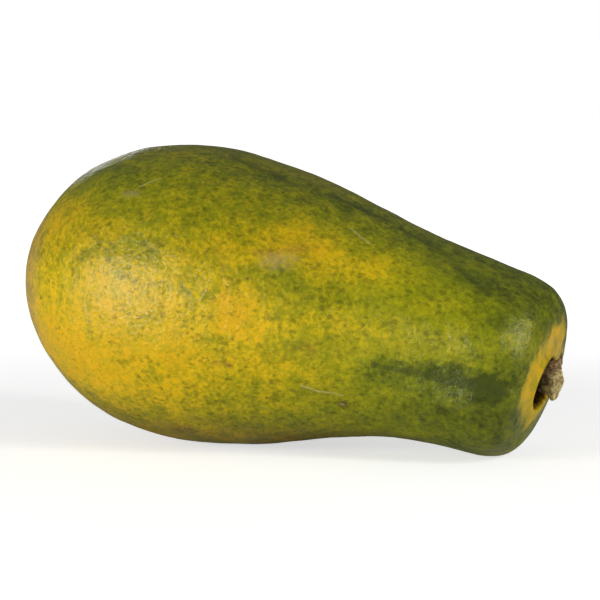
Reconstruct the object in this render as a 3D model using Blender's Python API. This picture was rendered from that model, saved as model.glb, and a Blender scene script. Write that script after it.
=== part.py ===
"""A whole ripening papaya lying on its side, with the dry stub of its stalk still in the stem end.

The fruit is lofted from rings square to a gently drooping centre line: a round blossom end, a full
belly, a neck and a blunt stem end with a small hollow. Five shallow furrows run along the neck.
+X points to the stem end and +Z up. The fruit rests on its belly and on the underside of its neck.
"""

import math

import bmesh
import bpy
from mathutils import Matrix, Vector

# Driving dimensions, in metres. "Along" is measured on the X axis from the widest part of the belly.
BELLY_RADIUS = 0.0470
BLOSSOM_LENGTH = 0.0578  # from the widest part to the blossom tip
BLOSSOM_FULLNESS = 0.91  # under 1 keeps the belly wide for longer than an ellipse would
BLOSSOM_POINT = 1.11  # over 1 makes the tip more pointed than an ellipse
SHOULDER_START = 0.0940  # where the neck starts to round over into the stem end
SHOULDER_LENGTH = 0.0155
SHOULDER_FULLNESS = 0.66  # under 1 makes the shoulder squarer than a quarter ellipse
STEM_FACE_RADIUS = 0.0120
HOLLOW_RADIUS = 0.0074
HOLLOW_RAISE = 0.0030  # how far the hollow sits above the middle of the neck
HOLLOW_DEPTH = 0.0052
HOLLOW_LIP = 0.0012
HOLLOW_WALL = ((0.60, 0.97), (0.90, 0.89), (1.00, 0.74))  # shares of its depth and radius
FLAT_CUT = 0.0007  # how much the fruit's own weight flattens its underside

# The neck's girth: (along, radius).
FLANK = (
    (-0.016, 0.0466),
    (0.000, 0.0470),
    (0.019, 0.0447),
    (0.034, 0.0416),
    (0.049, 0.0371),
    (0.064, 0.0331),
    (0.079, 0.0308),
    (0.092, 0.0297),
    (0.101, 0.0289),
)

# The centre line's height above the surface that the fruit lies on: (along, height).
CENTRE_HEIGHT = (
    (-0.076, 0.0580),
    (-0.053, 0.0547),
    (-0.026, 0.0509),
    (0.004, 0.0461),
    (0.029, 0.0427),
    (0.054, 0.0384),
    (0.079, 0.0328),
    (0.096, 0.0282),
    (0.114, 0.0231),
    (0.134, 0.0172),
)

# The stem end turns a little to the -Y side: (along, sideways).
CENTRE_SIDE = (
    (-0.060, 0.0000),
    (0.060, 0.0000),
    (0.085, -0.0002),
    (0.115, -0.0010),
)

# The five furrows between the carpels, and how deep they are: (along, depth).
LOBES = 5
FIRST_FURROW = math.radians(-34)  # from the +Y side, turning upwards
FURROW_SHARPNESS = 3
FURROW_LIMIT = 0.2  # no furrow is deeper than this share of the radius there
FURROW_DEPTH = (
    (-0.060, 0.0000),
    (-0.020, 0.0003),
    (0.040, 0.0005),
    (0.070, 0.0011),
    (0.092, 0.0017),
    (0.103, 0.0012),
    (0.112, 0.0003),
)

# The stalk stub: (distance above the hollow's floor, radius).
STUB_GAP = 0.0003
STUB_GIRTH = (
    (0.0000, 0.0030),
    (0.0012, 0.0034),
    (0.0035, 0.0039),
    (0.0060, 0.0047),
    (0.0080, 0.0054),
    (0.0089, 0.0050),
)
STUB_PLACE = (0.0010, 0.0008)  # from the hollow's middle, towards the +Y side and upwards
STUB_BEND = (0.0002, -0.0014)  # how far its free end bends that way
STUB_DISH = 0.0005
STUB_RIDGE = 0.06  # ridge height as a share of the stub's radius

# Colours (linear red, green and blue) and roughness.
SKIN = ((0.45, 0.42, 0.03), 0.35)
DRY_STALK = ((0.36, 0.27, 0.13), 0.8)

QUARTER_TURN = math.radians(90)
TANGENT_REACH = 0.001  # how far each way the centre line's direction is taken over
RING_POINTS = 50
CAP_STEPS = 13
FLANK_STEP = 0.0045
SHOULDER_STEPS = 8
LIP_STEPS = 3
STUB_POINTS = 20


def through(points, at):
    """The value at a place on a smooth cubic through (place, value) points."""
    last = len(points) - 2
    index = sum(place <= at for place, _ in points) - 1
    index = min(max(index, 0), last)

    def slope(i):
        low, high = max(i - 1, 0), min(i + 1, len(points) - 1)
        return (points[high][1] - points[low][1]) / (points[high][0] - points[low][0])

    (start, first), (end, second) = points[index], points[index + 1]
    width = end - start
    t = (at - start) / width
    return (
        (2 * t**3 - 3 * t**2 + 1) * first
        + (t**3 - 2 * t**2 + t) * width * slope(index)
        + (3 * t**2 - 2 * t**3) * second
        + (t**3 - t**2) * width * slope(index + 1)
    )


def centre_point(along):
    return Vector((along, through(CENTRE_SIDE, along), through(CENTRE_HEIGHT, along)))


def centre_frame(along):
    """Matrix with its origin on the centre line, local Z along it, X to the +Y side and Y upwards."""
    ahead = centre_point(along + TANGENT_REACH) - centre_point(along - TANGENT_REACH)
    ahead.normalize()
    upward = ahead.cross((0, 1, 0)).normalized()
    side = upward.cross(ahead)
    turn = Matrix((side, upward, ahead)).transposed().to_4x4()
    return Matrix.Translation(centre_point(along)) @ turn


def end_frame(along, radius):
    """The centre line's frame, raised where the stem end closes in on the hollow."""
    neck_radius = through(FLANK, SHOULDER_START)
    closed = 0
    if along > SHOULDER_START:
        closed = min((neck_radius - radius) / (neck_radius - STEM_FACE_RADIUS), 1)
    return centre_frame(along) @ Matrix.Translation((0, HOLLOW_RAISE * closed**3, 0))


def fruit_profile():
    """The fruit's (along, radius) pairs, from just inside the blossom tip to the hollow's floor."""
    profile = []
    for step in range(1, CAP_STEPS + 1):
        angle = QUARTER_TURN * step / CAP_STEPS
        ahead = math.cos(angle) ** BLOSSOM_FULLNESS if step < CAP_STEPS else 0
        profile.append((-BLOSSOM_LENGTH * ahead, BELLY_RADIUS * math.sin(angle) ** BLOSSOM_POINT))
    steps = round(SHOULDER_START / FLANK_STEP)
    for step in range(1, steps):
        along = SHOULDER_START * step / steps
        profile.append((along, through(FLANK, along)))
    neck_radius = through(FLANK, SHOULDER_START)
    for step in range(SHOULDER_STEPS + 1):
        angle = QUARTER_TURN * step / SHOULDER_STEPS
        fullness = math.cos(angle) ** SHOULDER_FULLNESS if step < SHOULDER_STEPS else 0
        profile.append(
            (
                SHOULDER_START + SHOULDER_LENGTH * math.sin(angle),
                STEM_FACE_RADIUS + (neck_radius - STEM_FACE_RADIUS) * fullness,
            )
        )
    face = SHOULDER_START + SHOULDER_LENGTH
    for step in range(LIP_STEPS + 1):
        angle = QUARTER_TURN * step / LIP_STEPS
        profile.append(
            (
                face - HOLLOW_LIP * (1 - math.cos(angle)),
                HOLLOW_RADIUS + HOLLOW_LIP * (1 - math.sin(angle)),
            )
        )
    for depth, radius in HOLLOW_WALL:
        profile.append((face - HOLLOW_DEPTH * depth, HOLLOW_RADIUS * radius))
    return profile


def furrow(angle, along):
    """How far the skin sinks at this angle round the fruit."""
    wave = (1 + math.cos(LOBES * (angle - FIRST_FURROW))) / 2
    return through(FURROW_DEPTH, along) * wave**FURROW_SHARPNESS


def lofted(name, rings, ends, material):
    """An object lofted through rings of points, each end closed by a fan around a point of ends."""
    mesh = bmesh.new()
    loops = [[mesh.verts.new(point) for point in points] for points in rings]
    count = len(loops[0])
    for first, second in zip(loops, loops[1:]):
        for step in range(count):
            after = (step + 1) % count
            mesh.faces.new((first[step], first[after], second[after], second[step]))
    for loop, centre in zip((loops[0], loops[-1]), ends):
        tip = mesh.verts.new(centre)
        for step in range(count):
            mesh.faces.new((loop[step], loop[(step + 1) % count], tip))
    bmesh.ops.recalc_face_normals(mesh, faces=mesh.faces)
    data = bpy.data.meshes.new(name)
    mesh.to_mesh(data)
    mesh.free()
    data.shade_smooth()
    data.materials.append(material)
    made = bpy.data.objects.new(name, data)
    bpy.context.scene.collection.objects.link(made)
    return made


def flatten_underside(made, height):
    """Cuts the fruit off flat at a height, as its own weight flattens it where it rests."""
    mesh = bmesh.new()
    mesh.from_mesh(made.data)
    everything = mesh.verts[:] + mesh.edges[:] + mesh.faces[:]
    cut = bmesh.ops.bisect_plane(
        mesh, geom=everything, plane_co=(0, 0, height), plane_no=(0, 0, -1), clear_outer=True
    )["geom_cut"]
    rim = [edge for edge in cut if isinstance(edge, bmesh.types.BMEdge)]
    bmesh.ops.holes_fill(mesh, edges=rim)
    bmesh.ops.recalc_face_normals(mesh, faces=mesh.faces)
    mesh.to_mesh(made.data)
    mesh.free()


def plain_material(name, colour, roughness):
    material = bpy.data.materials.new(name)
    material.use_nodes = True
    shader = material.node_tree.nodes["Principled BSDF"]
    shader.inputs["Base Color"].default_value = (*colour, 1)
    shader.inputs["Roughness"].default_value = roughness
    shader.inputs["Metallic"].default_value = 0
    material.diffuse_color = (*colour, 1)
    return material


def build_fruit():
    rings = []
    for along, radius in fruit_profile():
        frame = end_frame(along, radius)
        ring = []
        for step in range(RING_POINTS):
            angle = 2 * math.pi * step / RING_POINTS
            reach = radius - min(furrow(angle, along), radius * FURROW_LIMIT)
            ring.append(frame @ Vector((reach * math.cos(angle), reach * math.sin(angle), 0)))
        rings.append(ring)
    floor = SHOULDER_START + SHOULDER_LENGTH - HOLLOW_DEPTH
    ends = [centre_frame(-BLOSSOM_LENGTH).translation, end_frame(floor, 0).translation]
    made = lofted("fruit", rings, ends, plain_material("papaya_skin", *SKIN))
    lowest = min(vertex.co.z for vertex in made.data.vertices)
    flatten_underside(made, lowest + FLAT_CUT)
    return made


def build_stub():
    base = end_frame(SHOULDER_START + SHOULDER_LENGTH - HOLLOW_DEPTH, 0)
    base = base @ Matrix.Translation((*STUB_PLACE, STUB_GAP))
    top = STUB_GIRTH[-1][0]
    rings = []
    for height, radius in STUB_GIRTH:
        middle = Vector((*STUB_BEND, 0)) * (height / top) ** 2
        ring = []
        for step in range(STUB_POINTS):
            angle = 2 * math.pi * step / STUB_POINTS
            reach = radius * (1 + STUB_RIDGE * math.cos(LOBES * (angle - FIRST_FURROW)))
            offset = Vector((reach * math.cos(angle), reach * math.sin(angle), height))
            ring.append(base @ (middle + offset))
        rings.append(ring)
    ends = (base.translation, base @ Vector((*STUB_BEND, top - STUB_DISH)))
    return lofted("stem_stub", rings, ends, plain_material("dry_stalk", *DRY_STALK))


def centre_on_origin(parts):
    """Moves the meshes so that the whole stands centred on the origin, on Z = 0."""
    corners = [vertex.co for part in parts for vertex in part.data.vertices]
    low = Vector([min(corner[axis] for corner in corners) for axis in range(3)])
    high = Vector([max(corner[axis] for corner in corners) for axis in range(3)])
    shift = -Vector(((low.x + high.x) / 2, (low.y + high.y) / 2, low.z))
    for part in parts:
        part.data.transform(Matrix.Translation(shift))


def main():
    for leftover in list(bpy.data.objects):
        bpy.data.objects.remove(leftover)
    centre_on_origin([build_fruit(), build_stub()])


main()
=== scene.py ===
"""A ripening papaya on a pale studio floor: its waxy mottled skin, the dry stalk stub in the hollow
of the stem end, and the torn collar of dried stalk skin round the stub."""

import math

import bpy
import numpy as np
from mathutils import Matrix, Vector


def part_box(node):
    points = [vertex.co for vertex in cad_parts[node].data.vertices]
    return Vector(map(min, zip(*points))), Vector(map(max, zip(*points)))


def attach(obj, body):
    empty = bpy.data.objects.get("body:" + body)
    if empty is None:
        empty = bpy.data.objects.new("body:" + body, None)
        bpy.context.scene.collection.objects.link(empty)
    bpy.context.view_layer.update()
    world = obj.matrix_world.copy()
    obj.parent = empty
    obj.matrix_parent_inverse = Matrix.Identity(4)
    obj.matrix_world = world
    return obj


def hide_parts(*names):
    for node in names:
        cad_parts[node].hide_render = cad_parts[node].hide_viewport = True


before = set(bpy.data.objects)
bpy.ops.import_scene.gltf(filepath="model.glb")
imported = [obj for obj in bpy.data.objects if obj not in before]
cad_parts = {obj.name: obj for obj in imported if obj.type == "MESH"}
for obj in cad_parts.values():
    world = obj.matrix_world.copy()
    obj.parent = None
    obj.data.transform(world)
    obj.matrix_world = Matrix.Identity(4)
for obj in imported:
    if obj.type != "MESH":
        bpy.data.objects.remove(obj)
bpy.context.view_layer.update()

MM = 0.001
QUARTER_TURN = math.radians(90)
WHITE = (1, 1, 1)

fruit_low, fruit_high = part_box("fruit")
FRUIT_LENGTH = fruit_high.x - fruit_low.x
FRUIT_HEIGHT = fruit_high.z - fruit_low.z
BELLY_RADIUS = (fruit_high.y - fruit_low.y) / 2

# The middle of the fruit: (share of its length from the blossom tip, share of its height above the
# floor, metres towards the -Y side).
MIDDLE = (
    (0.000, 0.538, 0.0),
    (0.162, 0.497, 0.0),
    (0.337, 0.445, 0.0),
    (0.512, 0.400, 0.0),
    (0.688, 0.343, 0.0),
    (0.804, 0.292, 0.1 * MM),
    (0.877, 0.258, 0.3 * MM),
    (0.968, 0.211, 0.7 * MM),
    (1.035, 0.174, 1.0 * MM),
)

# The neck's girth behind the belly: (share of the length, share of the belly's radius).
NECK_GIRTH = (
    (0.337, 1.000),
    (0.454, 0.949),
    (0.571, 0.851),
    (0.688, 0.725),
    (0.804, 0.655),
    (0.877, 0.638),
    (0.950, 0.630),
)
BELLY_SHARE = 0.337  # where the fruit is widest
BLOSSOM_POWERS = (0.91, 1.11)  # how full and how pointed the blossom end is
BLOSSOM_SCAR = ((0.0040, 1.3 * MM), (0.0008, 2.7 * MM))  # two rings: (share of the length, radius)
BLOSSOM_STEPS = 12
NECK_STEPS = 15
SHOULDER_STEPS = 8
SHOULDER_SHARE = 0.885  # where the neck starts to round over
SHOULDER_REACH = 15.2 * MM
SHOULDER_FULLNESS = 0.66
FACE_RADIUS = 12.0 * MM
HOLLOW_RAISE = 3.0 * MM  # how far the hollow sits above the middle of the neck
HOLLOW_RADIUS = 7.4 * MM
HOLLOW_DEPTH = 5.2 * MM

# From the stem end's face into the hollow: (metres out from the face, radius).
HOLLOW_PROFILE = (
    (0.1 * MM, FACE_RADIUS),
    (0.1 * MM, HOLLOW_RADIUS + 1.9 * MM),
    (-0.2 * MM, HOLLOW_RADIUS + 0.7 * MM),
    (-1.2 * MM, HOLLOW_RADIUS),
    (-0.60 * HOLLOW_DEPTH, HOLLOW_RADIUS * 0.97),
    (-0.92 * HOLLOW_DEPTH, HOLLOW_RADIUS * 0.86),
    (-HOLLOW_DEPTH, HOLLOW_RADIUS * 0.55),
)
SKIN_COLUMNS = 35  # seven to each of the five lobes
FIRST_FURROW = math.radians(-34)  # from the +Y side, turning upwards
SHORT_WAY = 0.004  # a share of the length, over which the middle line's heading is taken
SMALLEST_TURN = 1e-6


def smooth_value(keys, at, column=1):
    """The value at a place on smooth curves through rows of (place, value, ...)."""
    places = [row[0] for row in keys]
    values = [row[column] for row in keys]
    slopes = np.gradient(values, places)
    index = min(max(np.searchsorted(places, at) - 1, 0), len(keys) - 2)
    width = places[index + 1] - places[index]
    t = min(max((at - places[index]) / width, 0), 1)
    return float(
        (2 * t**3 - 3 * t**2 + 1) * values[index]
        + (t**3 - 2 * t**2 + t) * width * slopes[index]
        + (3 * t**2 - 2 * t**3) * values[index + 1]
        + (t**3 - t**2) * width * slopes[index + 1]
    )


def middle_at(share):
    """The point on the fruit's middle line at a share of its length."""
    return Vector(
        (
            fruit_low.x + FRUIT_LENGTH * share,
            -smooth_value(MIDDLE, share, 2),
            FRUIT_HEIGHT * smooth_value(MIDDLE, share),
        )
    )


def heading_at(share):
    """The middle line's direction, as (droop below level, turn to the -Y side)."""
    ahead = middle_at(share + SHORT_WAY) - middle_at(share - SHORT_WAY)
    return math.atan2(-ahead.z, ahead.x), math.atan2(-ahead.y, ahead.x)


# --- modelling helpers -------------------------------------------------------------------------


def start_ring(name, columns, ring, first_angle=0.0):
    """A new piece begun in edit mode as one ring: (centre, radius, droop, turn)."""
    centre, radius, droop, turn = ring
    bpy.ops.object.select_all(action="DESELECT")
    bpy.ops.mesh.primitive_circle_add(
        vertices=columns, radius=radius, location=centre, rotation=(0, QUARTER_TURN, 0)
    )
    piece = bpy.context.object
    piece.name = name
    piece.data.name = name
    bpy.ops.object.transform_apply(location=True, rotation=True, scale=True)
    bpy.ops.object.mode_set(mode="EDIT")
    bpy.ops.mesh.select_all(action="SELECT")
    turn_selected(-first_angle, "X", centre)
    turn_selected(-droop, "Y", centre)
    turn_selected(turn, "Z", centre)
    return piece


def turn_selected(angle, axis, centre):
    if abs(angle) > SMALLEST_TURN:
        bpy.ops.transform.rotate(value=angle, orient_axis=axis, center_override=centre)


def extrude_ring(last, ring):
    """Extrudes the selected ring to its next centre, radius and heading."""
    centre, radius, droop, turn = ring
    step = centre - last[0]
    bpy.ops.mesh.extrude_edges_move(TRANSFORM_OT_translate={"value": step})
    size = radius / last[1]
    bpy.ops.transform.resize(value=(size, size, size), center_override=centre)
    turn_selected(last[2] - droop, "Y", centre)
    turn_selected(turn - last[3], "Z", centre)


def loft(name, columns, rings, first_angle=0.0):
    """A closed piece extruded ring by ring, with both ends filled. Left in object mode."""
    piece = start_ring(name, columns, rings[0], first_angle)
    for last, ring in zip(rings, rings[1:]):
        extrude_ring(last, ring)
    bpy.ops.mesh.edge_face_add()
    bpy.ops.mesh.select_all(action="DESELECT")
    bpy.ops.object.mode_set(mode="OBJECT")
    for vertex in piece.data.vertices[:columns]:
        vertex.select = True
    bpy.ops.object.mode_set(mode="EDIT")
    bpy.ops.mesh.select_mode(type="VERT")
    bpy.ops.mesh.edge_face_add()
    bpy.ops.mesh.select_all(action="SELECT")
    bpy.ops.mesh.normals_make_consistent(inside=False)
    bpy.ops.object.mode_set(mode="OBJECT")
    return piece


def pick(*pieces):
    """Selects these pieces only, and makes the first one active."""
    bpy.ops.object.select_all(action="DESELECT")
    for piece in pieces:
        piece.select_set(True)
    bpy.context.view_layer.objects.active = pieces[0]


def move_near(piece, place, shift, reach):
    """Pulls the point nearest to a place, and softly what lies within reach of it."""
    pick(piece)
    bpy.ops.object.mode_set(mode="EDIT")
    bpy.ops.mesh.select_all(action="DESELECT")
    bpy.ops.object.mode_set(mode="OBJECT")
    nearest = min(piece.data.vertices, key=lambda vertex: (vertex.co - place).length)
    nearest.select = True
    bpy.ops.object.mode_set(mode="EDIT")
    bpy.ops.transform.translate(
        value=shift,
        use_proportional_edit=True,
        proportional_edit_falloff="SMOOTH",
        proportional_size=reach,
    )
    bpy.ops.object.mode_set(mode="OBJECT")


def apply_modifier(piece, kind, **settings):
    pick(piece)
    modifier = piece.modifiers.new(kind.title(), kind)
    for name, value in settings.items():
        setattr(modifier, name, value)
    bpy.ops.object.modifier_apply(modifier=modifier.name)


def round_off(piece, levels):
    """Smooths the shape by subdivision."""
    apply_modifier(piece, "SUBSURF", levels=levels, render_levels=levels)


def sink_unevenly(piece, name, size, depth):
    """Sinks the surface by up to a depth in lumps of a size."""
    texture = bpy.data.textures.new(name, "CLOUDS")
    texture.noise_scale = size
    texture.noise_depth = 2
    apply_modifier(piece, "DISPLACE", texture=texture, strength=depth, mid_level=1.0)


def finish_piece(piece, material, node):
    """Gives a piece its material, hides the CAD node that it stands for, and gives it its body."""
    piece.data.materials.clear()
    piece.data.materials.append(material)
    piece.data.shade_smooth()
    if node:
        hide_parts(node)
    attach(piece, "root")


# --- shader helpers ----------------------------------------------------------------------------


class Shading:
    """Adds nodes to one node tree. A socket or a plain value may be given for each input."""

    def __init__(self, tree):
        self.tree = tree

    def fill(self, node, inputs):
        """Links or sets a node's inputs."""
        for name, value in inputs.items():
            if isinstance(value, bpy.types.NodeSocket):
                self.tree.links.new(value, node.inputs[name])
            else:
                node.inputs[name].default_value = value

    def add(self, kind, inputs=None, **settings):
        node = self.tree.nodes.new(kind)
        for name, value in settings.items():
            setattr(node, name, value)
        self.fill(node, inputs or {})
        return node

    def group(self, group, inputs):
        return self.add("ShaderNodeGroup", inputs, node_tree=group).outputs

    def math(self, operation, first, second=0.0, clamp=False):
        inputs = {0: first, 1: second}
        return self.add("ShaderNodeMath", inputs, operation=operation, use_clamp=clamp).outputs[0]

    def plus(self, value, extra, share, clamp=False):
        """A value with a share of another added to it."""
        return self.math("ADD", value, self.math("MULTIPLY", extra, share), clamp)

    def vector(self, operation, first, second=(0, 0, 0)):
        node = self.add("ShaderNodeVectorMath", {0: first, 1: second}, operation=operation)
        return node.outputs[1 if operation in ("LENGTH", "DISTANCE", "DOT_PRODUCT") else 0]

    def scaled(self, vector, scale):
        inputs = {0: vector, "Scale": scale}
        return self.add("ShaderNodeVectorMath", inputs, operation="SCALE").outputs[0]

    def noise_node(self, vector, size, detail, roughness):
        """Noise whose lumps are about a size in metres."""
        inputs = {"Vector": vector, "Scale": 1 / size, "Detail": detail, "Roughness": roughness}
        return self.add("ShaderNodeTexNoise", inputs)

    def noise(self, vector, size, detail=2.0, roughness=0.5):
        """Noise from 0 to 1."""
        return self.noise_node(vector, size, detail, roughness).outputs[0]

    def swing(self, vector, size, detail, roughness):
        """Noise that swings about zero, from -0.5 to 0.5."""
        return self.math("SUBTRACT", self.noise(vector, size, detail, roughness), 0.5)

    def pushed(self, vector, size, detail, roughness, reach):
        """A place pushed about by noise, so that no edge of a pattern on it is straight."""
        colour = self.noise_node(vector, size, detail, roughness).outputs[1]
        push = self.vector("SUBTRACT", colour, (0.5, 0.5, 0.5))
        return self.vector("ADD", vector, self.scaled(push, reach))

    def between(self, value, low, high, to_low=0.0, to_high=1.0):
        """A soft step from one value to another."""
        inputs = {
            "Value": value,
            "From Min": low,
            "From Max": high,
            "To Min": to_low,
            "To Max": to_high,
        }
        node = self.add("ShaderNodeMapRange", inputs, interpolation_type="SMOOTHSTEP")
        return node.outputs[0]

    def mix(self, factor, first, second, blend="MIX"):
        """Mixes two colours, each a socket or (red, green, blue)."""
        first, second = (
            colour if isinstance(colour, bpy.types.NodeSocket) else (*colour, 1)
            for colour in (first, second)
        )
        inputs = {0: factor, 6: first, 7: second}
        node = self.add("ShaderNodeMix", inputs, data_type="RGBA", blend_type=blend)
        return node.outputs[2]

    def paint(self, colour, mask, strength, over, blend="MIX"):
        """A colour painted over with another where a mask says, up to a strength."""
        return self.mix(self.math("MULTIPLY", mask, strength), colour, over, blend)

    def ramp(self, factor, stops):
        """Colours by place: (place, (red, green, blue))."""
        node = self.add("ShaderNodeValToRGB", {0: factor})
        elements = node.color_ramp.elements
        while len(elements) < len(stops):
            elements.new(0.5)
        for element, (place, colour) in zip(elements, stops):
            element.position = place
            element.color = (*colour, 1)
        return node.outputs[0]

    def bump(self, height, strength, distance):
        inputs = {"Height": height, "Strength": strength, "Distance": distance}
        return self.add("ShaderNodeBump", inputs).outputs[0]


def new_group(name, inputs, outputs):
    """A shader node group, as the sockets it takes in, its output node and its Shading."""
    group = bpy.data.node_groups.new(name, "ShaderNodeTree")
    for label, kind, value in inputs:
        socket = group.interface.new_socket(name=label, in_out="INPUT", socket_type=kind)
        if value is not None:
            socket.default_value = value
    for label, kind in outputs:
        group.interface.new_socket(name=label, in_out="OUTPUT", socket_type=kind)
    start = group.nodes.new("NodeGroupInput")
    end = group.nodes.new("NodeGroupOutput")
    return start.outputs, end, Shading(group)


def soft_patch_group():
    """A ragged-edged oval patch of skin: 1 inside, 0 outside."""
    start, end, shade = new_group(
        "soft_patch",
        (
            ("Vector", "NodeSocketVector", None),
            ("Centre", "NodeSocketVector", None),
            ("Size", "NodeSocketVector", (10 * MM, 10 * MM, 10 * MM)),
            ("Softness", "NodeSocketFloat", 0.5),
            ("Ragged", "NodeSocketFloat", 0.5),
        ),
        (("Mask", "NodeSocketFloat"),),
    )
    offset = shade.vector("SUBTRACT", start["Vector"], start["Centre"])
    distance = shade.vector("LENGTH", shade.vector("DIVIDE", offset, start["Size"]))
    rough = shade.swing(start["Vector"], 5 * MM, 4, 0.6)
    distance = shade.plus(distance, rough, start["Ragged"])
    near = shade.math("SUBTRACT", 1.0, start["Softness"])
    far = shade.math("ADD", 1.0, start["Softness"])
    shade.fill(end, {"Mask": shade.between(distance, near, far, 1.0, 0.0)})
    return shade.tree


def scratch_group():
    """A thin wavering line from a start along a way, on the side of the skin it faces: 1 on it."""
    start, end, shade = new_group(
        "scratch",
        (
            ("Vector", "NodeSocketVector", None),
            ("Start", "NodeSocketVector", None),
            ("Way", "NodeSocketVector", (1, 0, 0)),
            ("Facing", "NodeSocketVector", (0, -1, 0)),
            ("Length", "NodeSocketFloat", 10 * MM),
            ("Half Width", "NodeSocketFloat", 0.3 * MM),
        ),
        (("Mask", "NodeSocketFloat"),),
    )
    place = shade.pushed(start["Vector"], 3 * MM, 3, 0.6, 1.6 * MM)
    offset = shade.vector("SUBTRACT", place, start["Start"])
    depth = shade.vector("DOT_PRODUCT", offset, start["Facing"])
    offset = shade.vector("SUBTRACT", offset, shade.scaled(start["Facing"], depth))
    along = shade.vector("DOT_PRODUCT", offset, start["Way"])
    along = shade.math("MINIMUM", shade.math("MAXIMUM", along, 0.0), start["Length"])
    distance = shade.vector("DISTANCE", offset, shade.scaled(start["Way"], along))
    share = shade.math("DIVIDE", distance, start["Half Width"])
    line = shade.between(share, 0.4, 1.8, 1.0, 0.0)
    near = shade.between(shade.math("ABSOLUTE", depth), 6 * MM, 9 * MM, 1.0, 0.0)
    shade.fill(end, {"Mask": shade.math("MULTIPLY", line, near)})
    return shade.tree


def freckle_group():
    """Small ragged spots, gathered in loose clusters."""
    start, end, shade = new_group(
        "freckles",
        (
            ("Vector", "NodeSocketVector", None),
            ("Size", "NodeSocketFloat", 1.3 * MM),
            ("Cover", "NodeSocketFloat", 0.5),
        ),
        (("Mask", "NodeSocketFloat"),),
    )
    scale = shade.math("DIVIDE", 1.0, start["Size"])
    ragged = shade.add(
        "ShaderNodeTexNoise", {"Vector": start["Vector"], "Scale": scale, "Detail": 2.0}
    )
    push = shade.vector("SUBTRACT", ragged.outputs[1], (0.5, 0.5, 0.5))
    push = shade.scaled(push, shade.math("MULTIPLY", start["Size"], 2.2))
    cells = shade.add(
        "ShaderNodeTexVoronoi",
        {
            "Vector": shade.vector("ADD", start["Vector"], push),
            "Scale": shade.math("MULTIPLY", scale, 0.50),
        },
    )
    chance = shade.add("ShaderNodeSeparateColor", {0: cells.outputs["Color"]}).outputs[0]
    clusters = shade.add(
        "ShaderNodeTexNoise",
        {"Vector": start["Vector"], "Scale": shade.math("DIVIDE", scale, 7.0), "Detail": 2.0},
    )
    cover = shade.math("ADD", start["Cover"], shade.math("SUBTRACT", clusters.outputs[0], 0.5))
    size = shade.math("ADD", shade.math("MULTIPLY", chance, 0.35), 0.20)
    size = shade.math("MULTIPLY", size, shade.between(cover, 0.0, 1.0, 0.0, 1.05))
    rise = shade.math("SUBTRACT", size, cells.outputs["Distance"])
    shade.fill(end, {"Mask": shade.between(rise, -0.20, 0.18)})
    return shade.tree


def fibre_group():
    """Fine streaks along a dry stalk, with paler and darker strands and a height for bump."""
    start, end, shade = new_group(
        "dry_fibres",
        (
            ("Vector", "NodeSocketVector", None),
            ("Pale", "NodeSocketColor", (0.5, 0.4, 0.2, 1)),
            ("Dark", "NodeSocketColor", (0.1, 0.06, 0.03, 1)),
            ("Strand", "NodeSocketFloat", 0.8 * MM),
            ("Length", "NodeSocketFloat", 6.0),
        ),
        (("Colour", "NodeSocketColor"), ("Height", "NodeSocketFloat")),
    )
    lengthwise = shade.math("DIVIDE", 1.0, start["Length"])
    stretch = shade.add("ShaderNodeCombineXYZ", {"X": lengthwise, "Y": 1.0, "Z": 1.0})
    stretched = shade.vector("MULTIPLY", start["Vector"], stretch.outputs[0])
    scale = shade.math("DIVIDE", 1.0, start["Strand"])
    fine = shade.add(
        "ShaderNodeTexNoise",
        {"Vector": stretched, "Scale": scale, "Detail": 4.0, "Roughness": 0.65},
    )
    broad = shade.add(
        "ShaderNodeTexNoise",
        {"Vector": start["Vector"], "Scale": shade.math("DIVIDE", scale, 2.5), "Detail": 3.0},
    )
    level = shade.between(shade.plus(fine.outputs[0], broad.outputs[0], 0.7), 0.62, 1.05)
    colour = shade.mix(level, start["Dark"], start["Pale"])
    shade.fill(end, {"Colour": colour, "Height": level})
    return shade.tree


SOFT_PATCH = soft_patch_group()
SCRATCH = scratch_group()
FRECKLES = freckle_group()
DRY_FIBRES = fibre_group()


def new_material(name):
    material = bpy.data.materials.new(name)
    material.use_nodes = True
    shader = material.node_tree.nodes["Principled BSDF"]
    return material, Shading(material.node_tree), shader


# --- camera, light and floor -------------------------------------------------------------------

CAMERA_AIM = Vector((3.15 * MM, 0, 45.3 * MM))
CAMERA_TURN = math.radians(20)
CAMERA_RISE = math.radians(5.2)
CAMERA_DISTANCE = 0.75
CAMERA_LENS = 147
CAMERA_CLIP = (0.05, 50)


def direction(turn, rise):
    """Unit vector from the object: turn from the -Y side towards +X, rise above level."""
    return Vector(
        (math.sin(turn) * math.cos(rise), -math.cos(turn) * math.cos(rise), math.sin(rise))
    )


def make_camera():
    data = bpy.data.cameras.new("camera")
    data.lens = CAMERA_LENS
    data.clip_start, data.clip_end = CAMERA_CLIP
    camera = bpy.data.objects.new("camera", data)
    bpy.context.scene.collection.objects.link(camera)
    back = direction(CAMERA_TURN, CAMERA_RISE)
    camera.location = CAMERA_AIM + back * CAMERA_DISTANCE
    camera.rotation_euler = (-back).to_track_quat("-Z", "Y").to_euler()
    bpy.context.scene.camera = camera


# The softboxes: (name, turn, rise, distance, width, height, watts), in degrees and metres.
SOFTBOXES = (
    ("key_softbox", -34, 0, 0.80, 0.28, 0.42, 7.5),
    ("window_softbox", 74, 18, 0.80, 0.14, 0.34, 3.1),
    ("rim_softbox", -146, 13, 0.90, 0.14, 0.08, 0.25),
)


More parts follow.
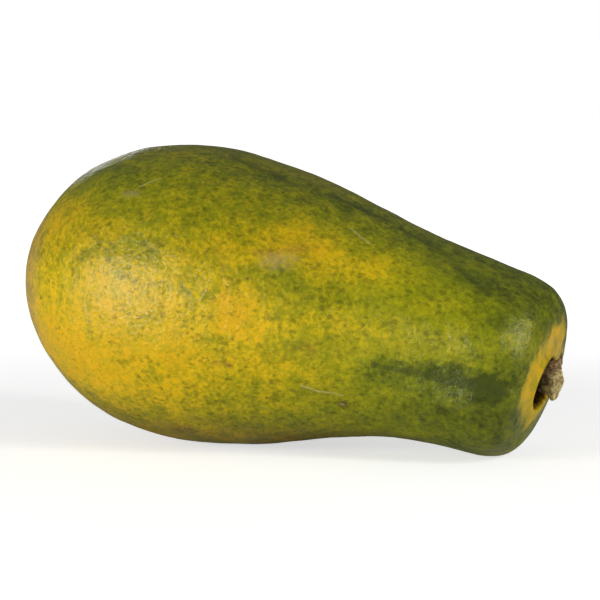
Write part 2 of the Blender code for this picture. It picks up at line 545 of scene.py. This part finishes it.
def make_softboxes():
    for name, turn, rise, distance, width, height, watts in SOFTBOXES:
        data = bpy.data.lights.new(name, "AREA")
        data.shape = "RECTANGLE"
        data.size = width
        data.size_y = height
        data.energy = watts
        lamp = bpy.data.objects.new(name, data)
        bpy.context.scene.collection.objects.link(lamp)
        back = direction(math.radians(turn), math.radians(rise))
        lamp.location = CAMERA_AIM + back * distance
        lamp.rotation_euler = back.to_track_quat("Z", "Y").to_euler()


# The studio walls' brightness by height: (share of the way from level to overhead, brightness).
WALL_LIGHT = ((0.0, 0.12), (0.30, 0.12), (0.60, 0.16), (1.0, 0.22))

FLOOR_RADIUS = 6.0
FLOOR_SIDES = 96
FLOOR_GAP = 0.2 * MM  # how far the floor lies under the fruit
FLOOR_NEAR, FLOOR_FAR = 0.12, 0.55  # the floor's own brightness grows between these distances
FLOOR_GLOW = (0.62, 1.0)


def make_world():
    world = bpy.data.worlds.new("studio_walls")
    bpy.context.scene.world = world
    world.use_nodes = True
    shade = Shading(world.node_tree)
    place = shade.add("ShaderNodeTexCoord").outputs["Generated"]
    height = shade.add("ShaderNodeSeparateXYZ", {0: place}).outputs["Z"]
    colour = shade.ramp(height, [(share, (light,) * 3) for share, light in WALL_LIGHT])
    seen = shade.add("ShaderNodeLightPath").outputs["Is Camera Ray"]
    colour = shade.mix(seen, colour, WHITE)
    shade.fill(world.node_tree.nodes["Background"], {"Color": colour, "Strength": 1.0})


def make_floor():
    bpy.ops.object.select_all(action="DESELECT")
    bpy.ops.mesh.primitive_circle_add(vertices=FLOOR_SIDES, radius=FLOOR_RADIUS, fill_type="NGON")
    floor = bpy.context.object
    floor.name = "studio_floor"
    floor.location.z = -FLOOR_GAP
    material, shade, shader = new_material("pale_floor")
    place = shade.add("ShaderNodeTexCoord").outputs["Object"]
    cloud = shade.noise(place, 0.5)
    seen = shade.add("ShaderNodeLightPath").outputs["Is Camera Ray"]
    glow = shade.between(shade.vector("LENGTH", place), FLOOR_NEAR, FLOOR_FAR, *FLOOR_GLOW)
    shade.fill(
        shader,
        {
            "Base Color": shade.mix(cloud, (0.74, 0.74, 0.735), (0.78, 0.78, 0.775)),
            "Roughness": 0.9,
            "Specular IOR Level": 0.1,
            "Emission Color": (*WHITE, 1),
            "Emission Strength": shade.math("MULTIPLY", seen, glow),
        },
    )
    floor.data.materials.append(material)


# --- the skin ----------------------------------------------------------------------------------


def stem_face():
    """The middle of the stem end's face, the way it looks out, and its droop and turn."""
    share = SHOULDER_SHARE + SHOULDER_REACH / FRUIT_LENGTH
    droop, turn = heading_at(share)
    centre = middle_at(share) + Vector((0, 0, HOLLOW_RAISE))
    return centre, direction(QUARTER_TURN - turn, -droop), droop, turn


def skin_rings():
    """The rings from the blossom scar to the hollow's floor: (centre, radius, droop, turn)."""
    rows = list(BLOSSOM_SCAR)
    full, point = BLOSSOM_POWERS
    for step in range(1, BLOSSOM_STEPS):
        angle = QUARTER_TURN * step / BLOSSOM_STEPS
        share = BELLY_SHARE * (1 - math.cos(angle) ** full)
        rows.append((share, BELLY_RADIUS * math.sin(angle) ** point))
    for step in range(NECK_STEPS):
        share = BELLY_SHARE + (SHOULDER_SHARE - BELLY_SHARE) * step / NECK_STEPS
        rows.append((share, BELLY_RADIUS * smooth_value(NECK_GIRTH, share)))
    neck = BELLY_RADIUS * smooth_value(NECK_GIRTH, SHOULDER_SHARE)
    reach = SHOULDER_REACH / FRUIT_LENGTH
    for step in range(SHOULDER_STEPS):
        angle = QUARTER_TURN * step / SHOULDER_STEPS
        radius = FACE_RADIUS + (neck - FACE_RADIUS) * math.cos(angle) ** SHOULDER_FULLNESS
        rows.append((SHOULDER_SHARE + reach * math.sin(angle), radius))
    rings = []
    for share, radius in rows:
        closed = (neck - radius) / (neck - FACE_RADIUS) if share > SHOULDER_SHARE else 0
        centre = middle_at(share) + Vector((0, 0, HOLLOW_RAISE * closed**3))
        rings.append((centre, radius, *heading_at(share)))
    face, ahead, droop, turn = stem_face()
    for height, radius in HOLLOW_PROFILE:
        rings.append((face + ahead * height, radius, droop, turn))
    return rings


LAY_SHARES = (-0.02, 1.06, 200)  # the first and last share of the length, and how many
LAY_ROUNDS = 4


def lay_along(piece):
    """Stores each point's lay on the fruit: (metres along, share to the -Y side, share upwards)."""
    count = len(piece.data.vertices)
    points = np.empty(count * 3)
    piece.data.vertices.foreach_get("co", points)
    points = points.reshape(-1, 3)
    shares = np.linspace(*LAY_SHARES)
    line = np.array([middle_at(share) for share in shares])
    ways = np.gradient(line, axis=0)
    ways /= np.linalg.norm(ways, axis=1)[:, None]
    at = points[:, 0].copy()
    for _ in range(LAY_ROUNDS):
        centre = np.stack([np.interp(at, line[:, 0], line[:, axis]) for axis in range(3)], 1)
        way = np.stack([np.interp(at, line[:, 0], ways[:, axis]) for axis in range(3)], 1)
        at += np.einsum("ij,ij->i", points - centre, way)
    out = points - centre
    out /= np.maximum(np.linalg.norm(out, axis=1), 1 * MM)[:, None]
    lay = np.stack([at - fruit_low.x, -out[:, 1], out[:, 2]], 1)
    attribute = piece.data.attributes.new("lay", "FLOAT_VECTOR", "POINT")
    attribute.data.foreach_set("vector", lay.ravel())


# Dents and swellings, one by one: (place, shift, reach), in millimetres.
HAND_SHAPING = (
    ((70.5, -28.5, 24.5), (-0.5, 1.9, 0.1), 10),
    ((62.0, -30.0, 25.5), (-0.2, 0.9, 0.0), 9),
    ((50.0, -30.0, 27.0), (-0.1, 0.6, 0.0), 11),
)


def make_skin():
    """The skin, wrapped on the CAD fruit but for the scar's first ring and the hollow."""
    rings = skin_rings()
    skin = loft("papaya_skin", SKIN_COLUMNS, rings, FIRST_FURROW)
    outside_rings = len(rings) - len(HOLLOW_PROFILE) + 1
    outside = skin.vertex_groups.new(name="outside")
    outside.add(list(range(SKIN_COLUMNS, outside_rings * SKIN_COLUMNS)), 1.0, "REPLACE")
    apply_modifier(
        skin,
        "SHRINKWRAP",
        target=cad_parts["fruit"],
        wrap_method="NEAREST_SURFACEPOINT",
        vertex_group="outside",
    )
    for place, shift, reach in HAND_SHAPING:
        move_near(skin, Vector(place) * MM, Vector(shift) * MM, reach * MM)
    round_off(skin, 3)
    sink_unevenly(skin, "broad_unevenness", 22 * MM, 0.9 * MM)
    sink_unevenly(skin, "skin_ripple", 5 * MM, 0.22 * MM)
    skin.vertex_groups.clear()
    lay_along(skin)
    return skin


# Linear colours of the skin, from unripe to ripe.
DARK_GREEN = (0.068, 0.086, 0.001)
MID_GREEN = (0.170, 0.195, 0.001)
LIME_GREEN = (0.305, 0.306, 0.001)
YELLOW_GREEN = (0.450, 0.385, 0.001)
GOLD = (0.740, 0.490, 0.001)
DEEP_GOLD = (0.780, 0.460, 0.001)
ORANGE = (0.860, 0.500, 0.001)
RING_OLIVE = (0.540, 0.400, 0.001)
RIPENING = (
    (0.00, DARK_GREEN),
    (0.20, MID_GREEN),
    (0.40, LIME_GREEN),
    (0.60, YELLOW_GREEN),
    (0.85, GOLD),
    (1.00, DEEP_GOLD),
)

# Linear colours of what lies on it.
# Dry brown tissue darkened with painted shade, for the hollow and the stub's foot in it.
HOLLOW_BROWN_AND_SHADE = (0.028, 0.012, 0.005)
FRECKLE_TINT = (0.46, 0.46, 0.70)  # what a freckle leaves of the colour under it
# Olive mottling, and also the painted shade over the top of the belly.
OLIVE_WASH_AND_TOP_SHADE = (0.56, 0.60, 0.90)
# Browner skin along the underside, partly painted shade.
BROWN_AND_UNDERSIDE_SHADE = (0.62, 0.50, 0.80)
SCUFF_GREY = (0.330, 0.260, 0.120)
SCUFF_BROWN = (0.230, 0.110, 0.020)
SPOT_BROWN = (0.120, 0.055, 0.015)
PALE_SCRATCH = (0.720, 0.560, 0.200)
BLUSH = (0.560, 0.300, 0.120)
# Painted shade in the neck's furrows.
FURROW_SHADE = (0.055, 0.070, 0.004)
CRACK_BROWN = (0.240, 0.110, 0.010)

RING_SHIFT = (-0.3, -1.8, 3.2)  # in millimetres: the orange ring is not centred on the hollow
RING_EDGE = (13.4 * MM, 17.4 * MM)
HOLLOW_START = (140 * MM, 150 * MM)  # how far along the fruit the hollow's brown begins

# How strongly the marks are painted on.
RING_STRENGTH = 0.92
FRECKLE_STRENGTH = 0.66
CRACK_STRENGTH = 0.40
SCRATCH_STRENGTH = 0.36
FURROW_SHADE_STRENGTH = 0.60

PATCH_RAGGEDNESS = 1.0
MARK_RAGGEDNESS = 1.8

# Patches that ripened first: (centre, size, softness, strength), in millimetres.
RIPE_PATCHES = (
    ((-51, -39, 66), (5, 8, 3), 0.8, 0.20),
    ((-41, -41, 69), (5, 8, 3), 0.8, 0.20),
    ((-3, -43, 46), (5, 8, 6), 0.9, 0.34),
    ((3, -43, 40), (8, 8, 3), 0.9, 0.20),
    ((14, -32, 66), (12, 12, 6), 0.9, 0.22),
    ((28, -27, 59), (12, 12, 5), 0.9, 0.22),
    ((-64, -35, 34), (12, 12, 11), 0.9, 0.20),
    ((-45, -38, 26), (22, 14, 9), 0.9, 0.20),
    ((-38, -40, 42), (24, 14, 12), 0.9, 0.20),
    ((-62, -26, 72), (13, 16, 9), 0.9, 0.18),
    ((42, -20, 59), (9, 9, 5), 0.9, 0.12),
    ((-8, -40, 32), (18, 12, 6), 0.9, 0.12),
    ((31, -31, 40), (12, 8, 6), 0.9, 0.14),
    ((50, -30, 40), (12, 8, 6), 0.9, 0.05),
)

# Patches still green: (centre, size, softness, strength), in millimetres.
GREEN_PATCHES = (
    ((-12, -12, 88), (13, 9, 4), 0.9, 0.12),
    ((5, -14, 83), (11, 5, 3), 0.8, 0.20),
    ((23, -10, 76), (11, 4, 3), 0.8, 0.18),
    ((32, -7, 72), (9, 4, 3), 0.8, 0.14),
    ((49, -8, 64), (12, 4, 3), 0.8, 0.06),
    ((65, -16, 53), (10, 4, 3), 0.8, 0.06),
    ((-50, -25, 82), (20, 14, 7), 0.9, 0.20),
    ((-26, -32, 72), (26, 10, 8), 0.9, 0.16),
    ((8, -36, 54), (9, 8, 5), 0.9, 0.12),
    ((19, -37, 35), (7, 8, 4), 0.9, 0.12),
    ((48, -30, 28), (13, 6, 3), 0.8, 0.26),
    ((-2, -38, 21), (9, 9, 5), 0.9, 0.07),
    ((12, -26, 9), (9, 10, 5), 0.9, 0.12),
    ((38, -30, 20), (12, 9, 6), 0.9, 0.10),
    ((54, -28, 18), (9, 9, 6), 0.9, 0.12),
    ((38, -30, 47), (8, 8, 5), 0.9, 0.10),
    ((66, -28, 25), (12, 6, 4), 0.8, 0.34),
    ((70, -26, 19), (6, 6, 7), 0.9, 0.16),
    ((20, -30, 12), (26, 12, 7), 0.9, 0.16),
    ((62, -20, 10), (24, 14, 9), 0.9, 0.18),
    ((76, -18, 20), (9, 14, 12), 0.9, 0.16),
    # This patch is painted shade: it darkens where the window softbox falls.
    ((73, -22, 38), (6, 8, 14), 0.9, 0.12),
    ((-30, -30, 10), (22, 14, 6), 0.9, 0.06),
)

# Small marks: (centre, size, softness, colour, strength), in millimetres.
MARKS = (
    ((9.5, -37, 60), (4.6, 6, 2.6), 0.8, SCUFF_GREY, 0.60),
    ((15, -33, 63.5), (3.2, 4, 1.0), 0.9, SCUFF_BROWN, 0.60),
    ((6, -37, 62.5), (4.0, 4, 0.8), 0.9, SCUFF_BROWN, 0.50),
    ((1.4, -41, 55), (0.7, 3, 0.6), 0.5, SPOT_BROWN, 0.80),
    ((-4.4, -41, 29.2), (1.4, 3, 1.0), 0.7, SCUFF_BROWN, 0.70),
    ((-8.0, -41, 30.0), (1.6, 3, 0.9), 0.8, SCUFF_BROWN, 0.50),
    ((18.7, -37, 35), (2.6, 4, 1.8), 0.8, SCUFF_BROWN, 0.45),
    ((-25.5, -26, 7), (4.2, 4, 1.6), 0.6, SPOT_BROWN, 0.75),
    ((-38.6, -34, 78.6), (2.8, 4, 1.0), 0.6, SCUFF_GREY, 0.55),
    ((-77, -24, 52), (6.0, 12, 20.0), 0.9, BLUSH, 0.60),
    ((-84, 4, 44), (5.0, 20, 16.0), 0.9, BLUSH, 0.45),
    ((-47.9, -44, 40.5), (0.8, 4, 0.8), 0.6, SCUFF_BROWN, 0.60),
    ((26.2, -28, 17.5), (1.4, 3, 1.0), 0.4, SPOT_BROWN, 0.75),
    ((26.2, -28.3, 17.5), (0.6, 3, 0.4), 0.4, SCUFF_GREY, 0.80),
    ((-86, 0, 50.4), (5.0, 2.6, 2.4), 0.4, SPOT_BROWN, 0.90),
    ((-86, 0, 50.4), (5.0, 7.0, 6.5), 0.8, SCUFF_BROWN, 0.45),
    ((34, 26, 42), (4.0, 5, 2.2), 0.7, SCUFF_GREY, 0.60),
    ((-30, 40, 52), (5.0, 6, 2.6), 0.7, SCUFF_GREY, 0.50),
    ((-12, 42, 40), (1.8, 4, 1.2), 0.6, SCUFF_BROWN, 0.60),
)

# Painted shade in thin dark lines along the neck's furrows: (start, end, half width), in
# millimetres.
FURROW_SHADE_LINES = (
    ((37, -31.5, 30), (46, -30.5, 28.4), 0.7),
    ((46, -30.5, 28.4), (56, -30, 26.5), 1.0),
    ((62, -30, 26), (74, -24.5, 22.5), 1.6),
    ((57, -30, 26.5), (66, -30, 25.5), 1.2),
    ((-14, -10, 89), (6, -13.5, 82.6), 1.2),
    ((16, -10, 78), (34, -7, 71.6), 1.0),
    ((38, -7, 69.5), (53, -9, 62), 1.0),
    ((57, -13, 57.5), (68, -19, 51), 0.9),
)

# Cracks across the ring at the stem end: (start, end, half width), in millimetres.
RING_CRACKS = (
    ((82.4, -3, 37.5), (84.2, 1, 33.5), 0.45),
    ((80.5, -9, 33.0), (82.0, -6, 30.5), 0.35),
)

# Pale scratches in the wax: (start, end, half width), in millimetres.
SCRATCHES = (
    ((-12.1, -45, 48.4), (-10.2, -44.5, 51.5), 0.22),
    ((-10.2, -44.5, 51.5), (-9.3, -43.6, 55.5), 0.18),
    ((26.2, -20, 70), (32.0, -21, 65.7), 0.35),
    ((15.5, -34, 23.1), (20.0, -33, 21.2), 0.40),
    ((20.0, -33, 21.2), (27.0, -30, 20.0), 0.30),
    ((-49.4, -44, 47.7), (-48.5, -44, 40.5), 0.25),
    ((-36.6, -31.4, 81.5), (-31.0, -28.4, 84.1), 0.25),
    ((-20.0, 44, 55), (-9.0, 44, 50), 0.25),
    ((10.0, 38, 50), (14.0, 37, 44), 0.25),
)


def soft_patch(shade, place, centre, size, softness, ragged):
    """The mask of one patch, with its centre and size in millimetres."""
    inputs = {
        "Vector": place,
        "Centre": Vector(centre) * MM,
        "Size": Vector(size) * MM,
        "Softness": softness,
        "Ragged": ragged,
    }
    return shade.group(SOFT_PATCH, inputs)[0]


def scratch(shade, place, start, end, half_width, facing):
    """The mask of one thin line, with its ends and half width in millimetres."""
    way = Vector(end) - Vector(start)
    way -= way.dot(facing) * facing
    inputs = {
        "Vector": place,
        "Start": Vector(start) * MM,
        "Way": way.normalized(),
        "Facing": facing,
        "Length": way.length * MM,
        "Half Width": half_width * MM,
    }
    return shade.group(SCRATCH, inputs)[0]


def outward(place):
    """Straight out from the fruit's middle line at a place in millimetres."""
    share = (place[0] * MM - fruit_low.x) / FRUIT_LENGTH
    out = Vector(place) * MM - middle_at(share)
    out.x = 0
    return out.normalized()


def patches(shade, place, rows):
    """The strengths of a table of patches added up."""
    total = 0.0
    for centre, size, softness, strength in rows:
        mask = soft_patch(shade, place, centre, size, softness, PATCH_RAGGEDNESS)
        total = shade.plus(total, mask, strength)
    return total


def skin_material():
    material, shade, shader = new_material("papaya_skin")
    place = shade.add("ShaderNodeTexCoord").outputs["Object"]
    lay = shade.add("ShaderNodeAttribute", attribute_name="lay").outputs["Vector"]
    along, front, up = shade.add("ShaderNodeSeparateXYZ", {0: lay}).outputs
    face, ahead = stem_face()[:2]

    # Unevenness in three sizes, and the place that patches are laid on, pushed about.
    clouds = shade.swing(place, 16 * MM, 4, 0.6)
    mottles = shade.swing(place, 4.5 * MM, 3, 0.6)
    fine = shade.swing(place, 1.3 * MM, 3, 0.6)
    warped = shade.pushed(place, 12 * MM, 5, 0.7, 18 * MM)

    # The neck is more evenly coloured than the belly, but streaked along its length.
    neck = shade.between(along, 100 * MM, 140 * MM)
    contrast = shade.between(neck, 0.0, 1.0, 0.58, 0.34)
    streaks = shade.swing(shade.vector("MULTIPLY", warped, (0.14, 1.0, 1.0)), 3.5 * MM, 3, 0.6)
    streaks = shade.math("MULTIPLY", streaks, neck)

    # Ripeness from the golden belly to the green neck, less along the top, below and behind.
    ripe = shade.between(along, 80 * MM, 148 * MM, 0.68, 0.38)
    band_edge = shade.plus(up, clouds, 0.35)
    for extra, share in (
        (shade.between(band_edge, 0.62, 0.95), -0.24),
        (shade.between(band_edge, -0.62, -0.98), -0.04),
        (shade.between(front, 0.0, -0.9), -0.18),
        (patches(shade, warped, RIPE_PATCHES), 1.0),
        (patches(shade, warped, GREEN_PATCHES), -1.0),
        (clouds, 0.42),
        (mottles, contrast),
        (fine, contrast),
    ):
        ripe = shade.plus(ripe, extra, share)
    ripe = shade.plus(ripe, streaks, 0.45, clamp=True)
    colour = shade.ramp(ripe, RIPENING)

    # An olive wash in fine grains and small clouds, painted shade over the top of the belly,
    # and along its underside browner skin with painted shade.
    wash = shade.between(shade.plus(mottles, fine, 1.4), -0.20, 0.24, 1.0, 0.0)
    wash = shade.math("MULTIPLY", wash, contrast)
    belly = shade.between(along, 90 * MM, 125 * MM, 1.0, 0.0)
    # Painted shade: the top of the belly darkened.
    above = shade.math("MULTIPLY", shade.between(up, 0.10, 0.60), belly)
    # The underside of the belly browner and darker: partly its colour, partly painted shade.
    below = shade.math("MULTIPLY", shade.between(band_edge, -0.55, -0.90), belly)
    colour = shade.paint(colour, wash, 0.75, OLIVE_WASH_AND_TOP_SHADE, "MULTIPLY")
    colour = shade.paint(colour, above, 0.50, OLIVE_WASH_AND_TOP_SHADE, "MULTIPLY")
    colour = shade.paint(colour, below, 0.60, BROWN_AND_UNDERSIDE_SHADE, "MULTIPLY")

    # Two sizes of olive freckles, thickest where the skin is half ripe.
    stretched = shade.vector("MULTIPLY", place, (0.75, 1.0, 1.0))
    half_ripe = shade.between(ripe, 0.60, 1.05, 0.66, 0.40)
    upper = shade.between(up, 0.0, 0.6, 0.45, 0.62)
    freckles, specks = (
        shade.group(FRECKLES, {"Vector": stretched, "Size": size, "Cover": cover})[0]
        for size, cover in ((0.95 * MM, half_ripe), (0.70 * MM, upper))
    )
    freckles = shade.math("MAXIMUM", freckles, shade.math("MULTIPLY", specks, 0.6))
    colour = shade.paint(colour, freckles, FRECKLE_STRENGTH, FRECKLE_TINT, "MULTIPLY")

    # The ring that turned gold first, round the stem end.
    ring_distance = shade.vector("DISTANCE", warped, face + Vector(RING_SHIFT) * MM)
    ring = shade.between(shade.plus(ring_distance, mottles, 5 * MM), *RING_EDGE, 1.0, 0.0)
    blotch = shade.between(shade.noise(place, 5 * MM, 4, 0.6), 0.40, 0.62)
    colour = shade.paint(colour, ring, RING_STRENGTH, shade.mix(blotch, ORANGE, RING_OLIVE))

    # Fine cracks across the ring from the hollow, marks all over the skin, and painted shade in the
    # furrows.
    for start, end, half_width in RING_CRACKS:
        mask = scratch(shade, place, start, end, half_width, ahead)
        colour = shade.paint(colour, mask, CRACK_STRENGTH, CRACK_BROWN)
    grain = shade.between(shade.noise(place, 0.9 * MM, 3, 0.7), 0.38, 0.60, 0.25, 1.0)
    for centre, size, softness, mark_colour, strength in MARKS:
        mask = soft_patch(shade, place, centre, size, softness, MARK_RAGGEDNESS)
        colour = shade.paint(colour, shade.math("MULTIPLY", mask, grain), strength, mark_colour)
    # Pale scratches, and painted shade along the furrows.
    for lines, line_colour, strength in (
        (SCRATCHES, PALE_SCRATCH, SCRATCH_STRENGTH),
        (FURROW_SHADE_LINES, FURROW_SHADE, FURROW_SHADE_STRENGTH),
    ):
        for start, end, half_width in lines:
            mask = scratch(shade, place, start, end, half_width, outward(start))
            colour = shade.paint(colour, mask, strength, line_colour)

    # The hollow's wall is dark brown and dry, and painted darker still with painted shade for the
    # recess.
    from_face = shade.vector("SUBTRACT", place, face)
    off_axis = shade.vector("LENGTH", shade.vector("CROSS_PRODUCT", from_face, ahead))
    lip_edge = shade.plus(off_axis, fine, 1.2 * MM)
    hollow = shade.between(lip_edge, HOLLOW_RADIUS, HOLLOW_RADIUS + 1.0 * MM, 1.0, 0.0)
    hollow = shade.math("MULTIPLY", hollow, shade.between(along, *HOLLOW_START))
    colour = shade.mix(hollow, colour, HOLLOW_BROWN_AND_SHADE)

    # A waxy shine broken by fine pits.
    height = shade.math("ADD", shade.noise(place, 1.2 * MM, 3, 0.6), shade.noise(place, 3.5 * MM))
    bump = shade.bump(height, 0.9, 0.40 * MM)
    shade.fill(
        shader,
        {
            "Base Color": colour,
            "Normal": bump,
            "Coat Normal": bump,
            "Roughness": shade.between(shade.noise(place, 9 * MM, 4), 0.3, 0.7, 0.36, 0.48),
            "Specular IOR Level": 0.20,
            "Coat Weight": 0.28,
            "Coat Roughness": 0.27,
        },
    )
    return material


# --- the stalk stub and its collar -------------------------------------------------------------

FOOT_SHADING = (-2.5 * MM, 2.0 * MM)  # heights about the face between which the foot's shade ends

# The stub: (distance above the hollow's floor, radius), in millimetres.
STUB_GIRTH = (
    (0.4, 3.0),
    (1.6, 3.4),
    (3.4, 3.9),
    (5.0, 4.4),
    (6.6, 5.2),
    (8.0, 5.4),
    (9.0, 4.7),
    (9.3, 3.4),
    (9.0, 1.7),
)
STUB_PLACE = (-1.4, 1.6)  # towards the -Y side and upwards, in millimetres
STUB_BEND = (0.2, -1.4)  # how far its top leans over from there, measured the same way
STUB_COLUMNS = 20

# The collar's torn tongues of dried skin: (angle round the stub from the -Y side, reach from the
# stub's middle, width), in degrees and millimetres.
TONGUES = (
    (96, 10.6, 2.3),
    (74, 8.6, 1.9),
    (118, 9.4, 2.0),
    (52, 7.6, 1.5),
    (142, 8.2, 1.7),
    (175, 7.8, 1.6),
    (215, 7.6, 1.5),
)
TONGUE_COLUMNS = 10


# Along a tongue to its bend: (distance from the stub's middle, height above the face, share of
# its girth), in millimetres.
TONGUE_ROOT = (
    (4.6, -3.6, 0.7),
    (5.3, -1.6, 1.0),
    (6.1, 0.3, 1.0),
    (6.8, 1.2, 0.85),
)
TONGUE_GIRTH = 0.6  # a tongue's radius as a share of its width
TONGUE_WAVE = 0.25  # how far a tongue's middle wavers, in millimetres


def make_tongue(number, angle, reach, width):
    """One torn strip, from inside the hollow out over its lip, tapering to a point."""
    face, ahead, droop, turn = stem_face()
    rise = Vector((math.sin(droop), 0, math.cos(droop)))
    out = Vector((0, -1, 0)) * math.cos(math.radians(angle)) + rise * math.sin(math.radians(angle))
    half_way = (TONGUE_ROOT[-1][0] + reach) / 2
    rings = []
    for radius, height, size in (*TONGUE_ROOT, (half_way, 1.5, 0.6), (reach, 1.0, 0.2)):
        wave = TONGUE_WAVE * math.sin(3 * radius + number)
        centre = face + (out * (radius + wave) + ahead * height) * MM
        rings.append((centre, size * width * TONGUE_GIRTH * MM, droop, turn))
    strip = loft(f"tongue_{number}", TONGUE_COLUMNS, rings)
    round_off(strip, 2)
    return strip


def make_collar():
    strips = [make_tongue(number, *row) for number, row in enumerate(TONGUES)]
    pick(*strips)
    bpy.ops.object.join()
    collar = strips[0]
    collar.name = "dry_collar"
    collar.data.name = "dry_collar"
    sink_unevenly(collar, "collar_crumple", 1.4 * MM, 0.7 * MM)
    return collar


def make_stub():
    face, ahead, droop, turn = stem_face()
    side = Vector((0, -1, 0))
    upward = Vector((0, 0, 1))
    floor = face - ahead * HOLLOW_DEPTH
    top = STUB_GIRTH[-1][0]
    rings = []
    for height, radius in STUB_GIRTH:
        bend = (height / top) ** 2
        across = side * (STUB_PLACE[0] + STUB_BEND[0] * bend)
        across += upward * (STUB_PLACE[1] + STUB_BEND[1] * bend)
        rings.append((floor + (ahead * height + across) * MM, radius * MM, droop, turn))
    stub = loft("stalk_stub", STUB_COLUMNS, rings, FIRST_FURROW)
    round_off(stub, 3)
    sink_unevenly(stub, "stub_lumps", 3.0 * MM, 1.1 * MM)
    sink_unevenly(stub, "stub_grain", 0.8 * MM, 0.20 * MM)
    return stub


def dry_material(name, fibres, bump_strength, bump_depth, roughness, foot_shade=0.0):
    """Dry fibrous stalk, shaded where its foot goes down into the hollow."""
    material, shade, shader = new_material(name)
    place = shade.add("ShaderNodeTexCoord").outputs["Object"]
    strands = shade.group(DRY_FIBRES, {"Vector": place, **fibres})
    colour = strands["Colour"]
    if foot_shade:
        face, ahead = stem_face()[:2]
        height = shade.vector("DOT_PRODUCT", shade.vector("SUBTRACT", place, face), ahead)
        shadow = shade.between(height, *FOOT_SHADING, foot_shade, 0.0)
        colour = shade.mix(shadow, colour, HOLLOW_BROWN_AND_SHADE)
    bump = shade.bump(strands["Height"], bump_strength, bump_depth)
    shade.fill(shader, {"Base Color": colour, "Normal": bump, "Roughness": roughness})
    return material


def stub_material():
    fibres = {
        "Pale": (0.80, 0.66, 0.28, 1),
        "Dark": (0.20, 0.12, 0.035, 1),
        "Strand": 0.8 * MM,
        "Length": 4.0,
    }
    return dry_material("dry_stalk", fibres, 0.6, 0.4 * MM, 0.80, foot_shade=0.85)


def collar_material():
    fibres = {
        "Pale": (0.52, 0.34, 0.16, 1),
        "Dark": (0.100, 0.045, 0.016, 1),
        "Strand": 0.5 * MM,
        "Length": 2.0,
    }
    return dry_material("torn_stalk_skin", fibres, 0.8, 0.3 * MM, 0.85)


# --- making it all -----------------------------------------------------------------------------


def make_scene():
    make_camera()
    make_softboxes()
    make_world()
    make_floor()
    bpy.context.scene.view_settings.view_transform = "Standard"
    finish_piece(make_skin(), skin_material(), "fruit")
    finish_piece(make_stub(), stub_material(), "stem_stub")
    finish_piece(make_collar(), collar_material(), None)


make_scene()
